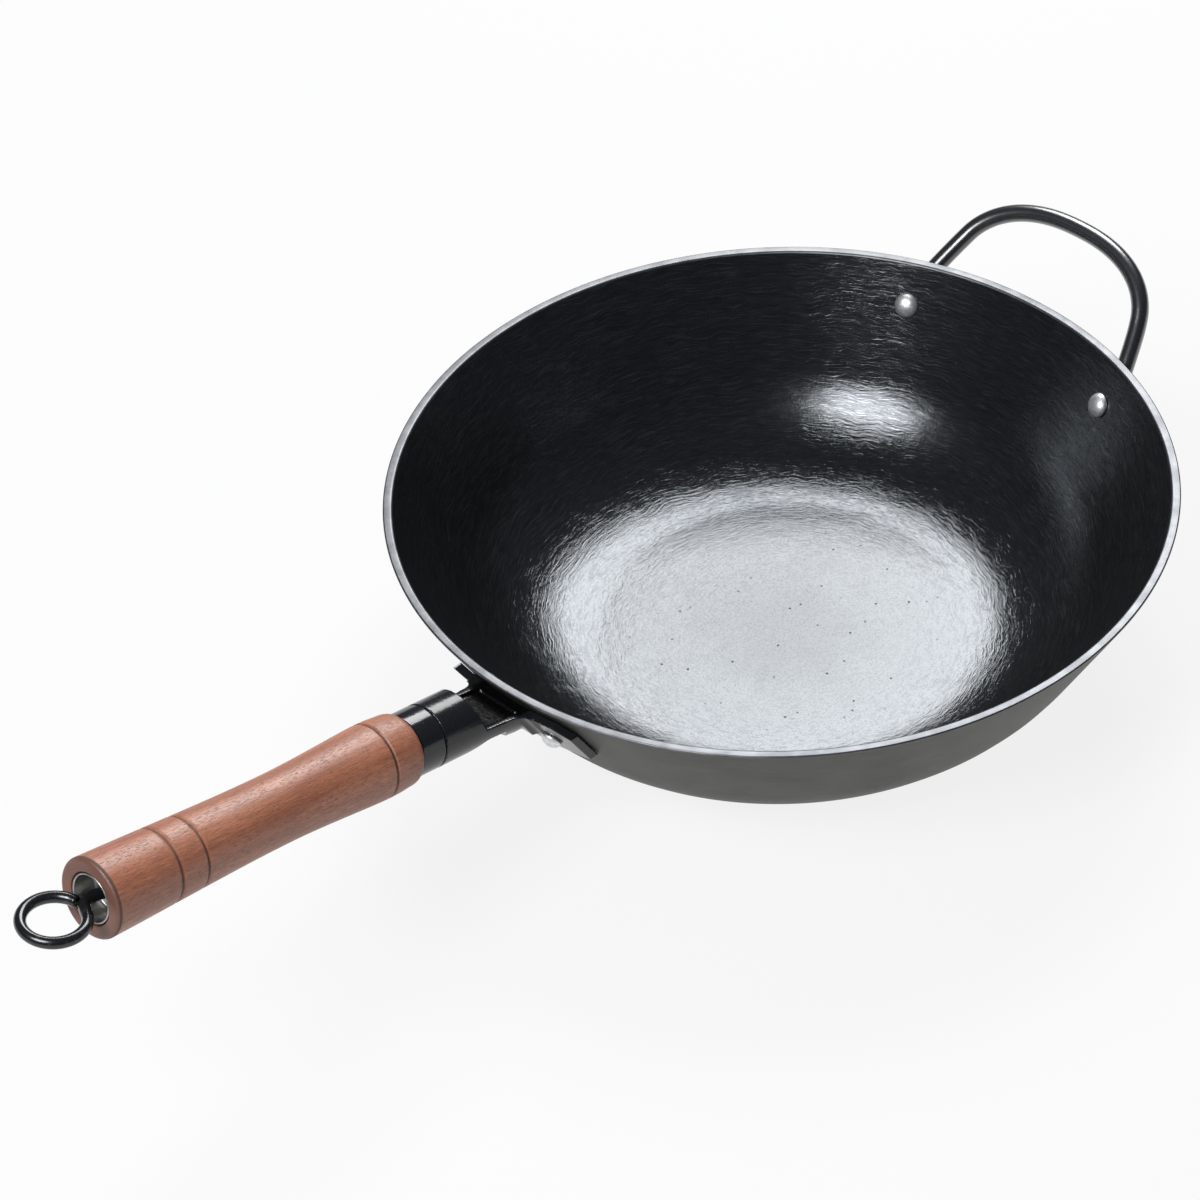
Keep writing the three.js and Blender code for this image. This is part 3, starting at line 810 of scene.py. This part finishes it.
def swept(name, path, sections, across, last_across=None):
    """A bar along a path that turns with it. Each section gives its half sizes across and out."""
    frames = []
    for place, here in enumerate(path):
        ahead = (path[min(place + 1, len(path) - 1)] - path[max(place - 1, 0)]).normalized()
        across = (across - ahead * across.dot(ahead)).normalized()
        frames.append((here, ahead, across))
    twist = 0.0
    if last_across:
        twist = math.atan2(ahead.dot(across.cross(last_across)), across.dot(last_across))
    rings = []
    for place, ((here, ahead, across), (wide, thick)) in enumerate(zip(frames, sections)):
        across = Matrix.Rotation(twist * place / (len(path) - 1), 3, ahead) @ across
        out = ahead.cross(across)
        turns = [2 * math.pi * side / ROD_SIDES for side in range(ROD_SIDES)]
        rings.append([here + across * wide * math.cos(t) + out * thick * math.sin(t) for t in turns])
    return skin(name, [[path[0]], *rings, [path[-1]]])


def eased_ends(path, radius, ease):
    """Half sizes along a bar of one radius whose end edges are eased."""
    travelled = [0]
    for one, other in zip(path, path[1:]):
        travelled.append(travelled[-1] + (other - one).length)
    sizes = []
    for reach in travelled:
        darker_butt_edge = min(reach, travelled[-1] - reach, ease) / ease
        sizes.append(radius - ease * (1 - math.sqrt(1 - (1 - darker_butt_edge) ** 2)))
    return [(size, size) for size in sizes]


def black_plate():
    material, shader, place = new_finish("black_plated_steel")
    drawn = place.noise(0.9, 2.0)
    worn = place.noise(0.35, 3.0).fade(0.55, 0.75)
    dress(
        shader,
        Base_Color=worn.blend((0.03, 0.032, 0.035, 1), (0.075, 0.077, 0.08, 1)),
        Metallic=0.7,
        Roughness=0.2 + drawn * 0.06,
        Coat_Weight=0.4,
        Coat_Roughness=0.1,
        Normal=drawn.bump(0.00001),
    )
    return material


eye_frame = line_frame(0) @ Matrix.Rotation(EYE_ROLL, 4, "Z")
eye_lead = LINE_LENGTH + EYE_STAND
eye_centre = eye_lead + ROD_RADIUS + EYE_RADIUS
collar_end = COLLAR_START + COLLAR_THICKNESS
eye_path = [Vector((0, 0, along)) for along in (COLLAR_START, collar_end, eye_lead)]
for turn in spread(EYE_JOIN, EYE_END, EYE_STEP):
    along = eye_centre - EYE_RADIUS * math.cos(turn)
    fall = (along - eye_lead) * math.tan(EYE_DROOP)
    eye_path.append(Vector((-fall, -EYE_RADIUS * math.sin(turn), along)))
eye_line = [eye_frame @ point for point in curve_through(eye_path, CURVE_STEPS)]
eye_sizes = eased_ends(eye_line, ROD_RADIUS, ROD_END_EASE)
eye = swept("hanging_eye_rod", eye_line, eye_sizes, Vector((0, 1, 0)))
shank = turned(
    "eye_bolt_shank",
    [
        (0, NUT_START, 0),
        (ROD_RADIUS, NUT_START, ROD_END_EASE),
        (ROD_RADIUS, COLLAR_START, 0),
        (COLLAR_RADIUS, COLLAR_START, ROD_END_EASE),
        (COLLAR_RADIUS, collar_end, COLLAR_EDGE),
        (0, collar_end, 0),
    ],
    SHANK_SIDES,
    closed=False,
)
plated = black_plate()
for rod in (eye, shank):
    rod.data.materials.append(plated)
    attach(rod, "hanging_eye")
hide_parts("eye_bolt")

# The helper handle is a round steel bar bent into a loop that leans out over the rim; its ends are
# forged flat into feet that lie on the wall under their rivets. It is stoved gloss black.
BAR_RADIUS = 0.0037
LOOP_HALF_WIDTH = 0.0485
LOOP_RISE = 0.0358
LOOP_LEAN = math.radians(42)
LOOP_SQUARENESS = 2.3
LOOP_DROP = 0.0023
LOOP_STANDOFF = 0.0036
FOOT_RADIUS = 0.008
FOOT_THICKNESS = 0.0036
HELPER_SPREAD = 0.0535
HELPER_DROP = 0.0175
LEG_TOP = 0.0086
NECK_START = 0.001
FOOT_TIP = 0.0006
LEG_STEPS = 14
LOOP_STEPS = 14


def wall_place(spread_out, up_from_rivet, off):
    """A place on the helper's side of the wall, up from its rivet and square out of the wall."""
    drop = HELPER_DROP - up_from_rivet * math.sin(WALL_SLOPE)
    radius = RIM_RADIUS - drop / math.tan(WALL_SLOPE) + off / math.sin(WALL_SLOPE)
    return Vector((math.sqrt(radius**2 - spread_out**2), spread_out, RIM_HEIGHT - drop))


def loop_points():
    """The loop's middle line from one leg to the other, square-shouldered and leaning outwards."""
    radius = RIM_RADIUS - LOOP_DROP / math.tan(WALL_SLOPE)
    radius += (SEAT + BAR_RADIUS + LOOP_STANDOFF) / math.sin(WALL_SLOPE)
    foot = math.sqrt(radius**2 - LOOP_HALF_WIDTH**2)
    points = []
    for step in range(1, LOOP_STEPS):
        turn = math.pi * step / LOOP_STEPS
        rise = LOOP_RISE * abs(math.sin(turn)) ** (2 / LOOP_SQUARENESS)
        wide = math.copysign(abs(math.cos(turn)) ** (2 / LOOP_SQUARENESS), math.cos(turn))
        out = foot + rise * math.cos(LOOP_LEAN)
        height = RIM_HEIGHT - LOOP_DROP + rise * math.sin(LOOP_LEAN)
        points.append(Vector((out, -LOOP_HALF_WIDTH * wide, height)))
    return points


def forged_leg(side):
    """One leg from the foot's end up to the bar, as (place, half width, half thickness)."""
    stations = []
    for step in range(LEG_STEPS + 1):
        up = -FOOT_RADIUS + (FOOT_RADIUS + LEG_TOP) * step / LEG_STEPS
        disc = math.sqrt(max(0, FOOT_RADIUS**2 - up**2))
        neck = min(1, max(0, (up - NECK_START) / (LEG_TOP - NECK_START)))
        blend = neck * neck * (3 - 2 * neck)
        wide = max(disc, FOOT_TIP) * (1 - blend) + BAR_RADIUS * blend
        thick = FOOT_THICKNESS / 2 * (1 - blend) + BAR_RADIUS * blend
        stations.append((wall_place(side * HELPER_SPREAD, up, SEAT + thick), wide, thick))
    return stations


def helper_bar():
    """The whole bar: up one leg, round the loop and down the other leg."""
    rising = forged_leg(-1)
    falling = forged_leg(1)[::-1]
    ends = [place for place, wide, thick in rising[-2:] + falling[:2]]
    bend = curve_through([*ends[:2], *loop_points(), *ends[2:]], CURVE_STEPS)
    loop = [(place, BAR_RADIUS, BAR_RADIUS) for place in bend[CURVE_STEPS:-CURVE_STEPS]]
    stations = [*rising[:-1], *loop, *falling[1:]]
    path = [place for place, wide, thick in stations]
    sizes = [(wide, thick) for place, wide, thick in stations]
    return swept("helper_loop", path, sizes, Vector((0, 1, 0)), Vector((0, 1, 0)))


helper = helper_bar()
helper.data.materials.append(gloss_black("stoved_black_helper", 1.0, 0.18, 1.0))
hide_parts("helper_handle")
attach(helper, "wok")

# The four rivets are soft steel, set cold: a head inside the pan and a domed tail on the plate
# outside. Those of the bracket are low inside, those of the helper are round.
RIVET_RADIUS = 0.003
HEAD_RADIUS = 0.0052
TAIL_RADIUS = 0.0043
TAIL_RISE = 0.0032
LOW_HEAD_RISE = 0.001
ROUND_HEAD_RISE = 0.0032
RIVET_SIDES = 48
BRACKET_SPREAD = 0.0184
BRACKET_DROP = 0.019


def rivet_steel():
    material, shader, place = new_finish("set_rivet_steel")
    dents = place.noise(0.8, 2.0)
    marks = place.noise(3.0, 2.0)
    dress(
        shader,
        Base_Color=dents.fade(0.3, 0.7).blend((0.6, 0.605, 0.61, 1), (0.78, 0.785, 0.79, 1)),
        Metallic=0.85,
        Roughness=0.38 + marks * 0.15,
        Normal=(dents + marks * 0.2).bump(0.0001),
    )
    return material


def rivet(name, towards, spread_out, drop, plate, head_rise):
    """A rivet through wall and plate; towards is -1 on the bracket's side, 1 on the helper's."""
    radius = RIM_RADIUS - drop / math.tan(WALL_SLOPE)
    foot = Vector((towards * math.sqrt(radius**2 - spread_out**2), spread_out, RIM_HEIGHT - drop))
    out = off_wall(foot)[1]
    stand = Matrix.Translation(foot) @ out.to_track_quat("Z", "Y").to_matrix().to_4x4()
    inner = -WALL - SEAT
    outer = plate + 2 * SEAT
    arc = [math.pi / 2 * step / 10 for step in range(11)]
    head = [(HEAD_RADIUS * math.sin(turn), inner - head_rise * math.cos(turn)) for turn in arc]
    tail = [(TAIL_RADIUS * math.cos(turn), outer + TAIL_RISE * math.sin(turn)) for turn in arc]
    outline = [*head, (RIVET_RADIUS, inner), (RIVET_RADIUS, outer), *tail]
    return skin(name, [circle(max(0, size), along, RIVET_SIDES, stand) for size, along in outline])


rivet_finish = rivet_steel()
for node, towards, spread_out, drop, plate, head_rise in (
    ("bracket_rivet_left", -1, BRACKET_SPREAD, BRACKET_DROP, PLATE, LOW_HEAD_RISE),
    ("bracket_rivet_right", -1, -BRACKET_SPREAD, BRACKET_DROP, PLATE, LOW_HEAD_RISE),
    ("helper_rivet_left", 1, HELPER_SPREAD, HELPER_DROP, FOOT_THICKNESS, ROUND_HEAD_RISE),
    ("helper_rivet_right", 1, -HELPER_SPREAD, HELPER_DROP, FOOT_THICKNESS, ROUND_HEAD_RISE),
):
    stud = rivet("set_" + node, towards, spread_out, drop, plate, head_rise)
    stud.data.materials.append(rivet_finish)
    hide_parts(node)
    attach(stud, "wok")
